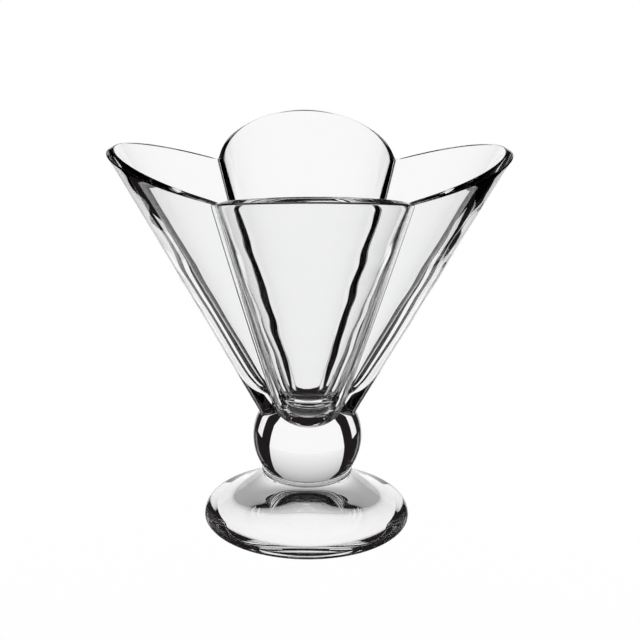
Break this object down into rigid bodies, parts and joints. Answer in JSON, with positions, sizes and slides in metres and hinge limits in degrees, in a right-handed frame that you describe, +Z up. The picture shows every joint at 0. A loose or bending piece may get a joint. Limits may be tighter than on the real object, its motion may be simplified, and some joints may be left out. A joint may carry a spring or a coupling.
{
  "type": "footed dessert glass",
  "caption": "Clear pressed dessert glass: a flared petal bowl with a scalloped rim on a solid ball stem and round foot, for ice cream, sundaes or parfaits.",
  "frame": {"origin": "on the glass's axis, in the plane that the foot stands on", "axes": "+Z up along the axis; +X and +Y each run through the middle of a petal"},
  "size_m": [0.1304, 0.1304, 0.129],
  "materials": {
    "clear_glass": "polished"
  },
  "bodies": {
    "root": {"foot": "clear_glass", "collar": "clear_glass", "ball_stem": "clear_glass", "bowl": "clear_glass"}
  },
  "joints": []
}
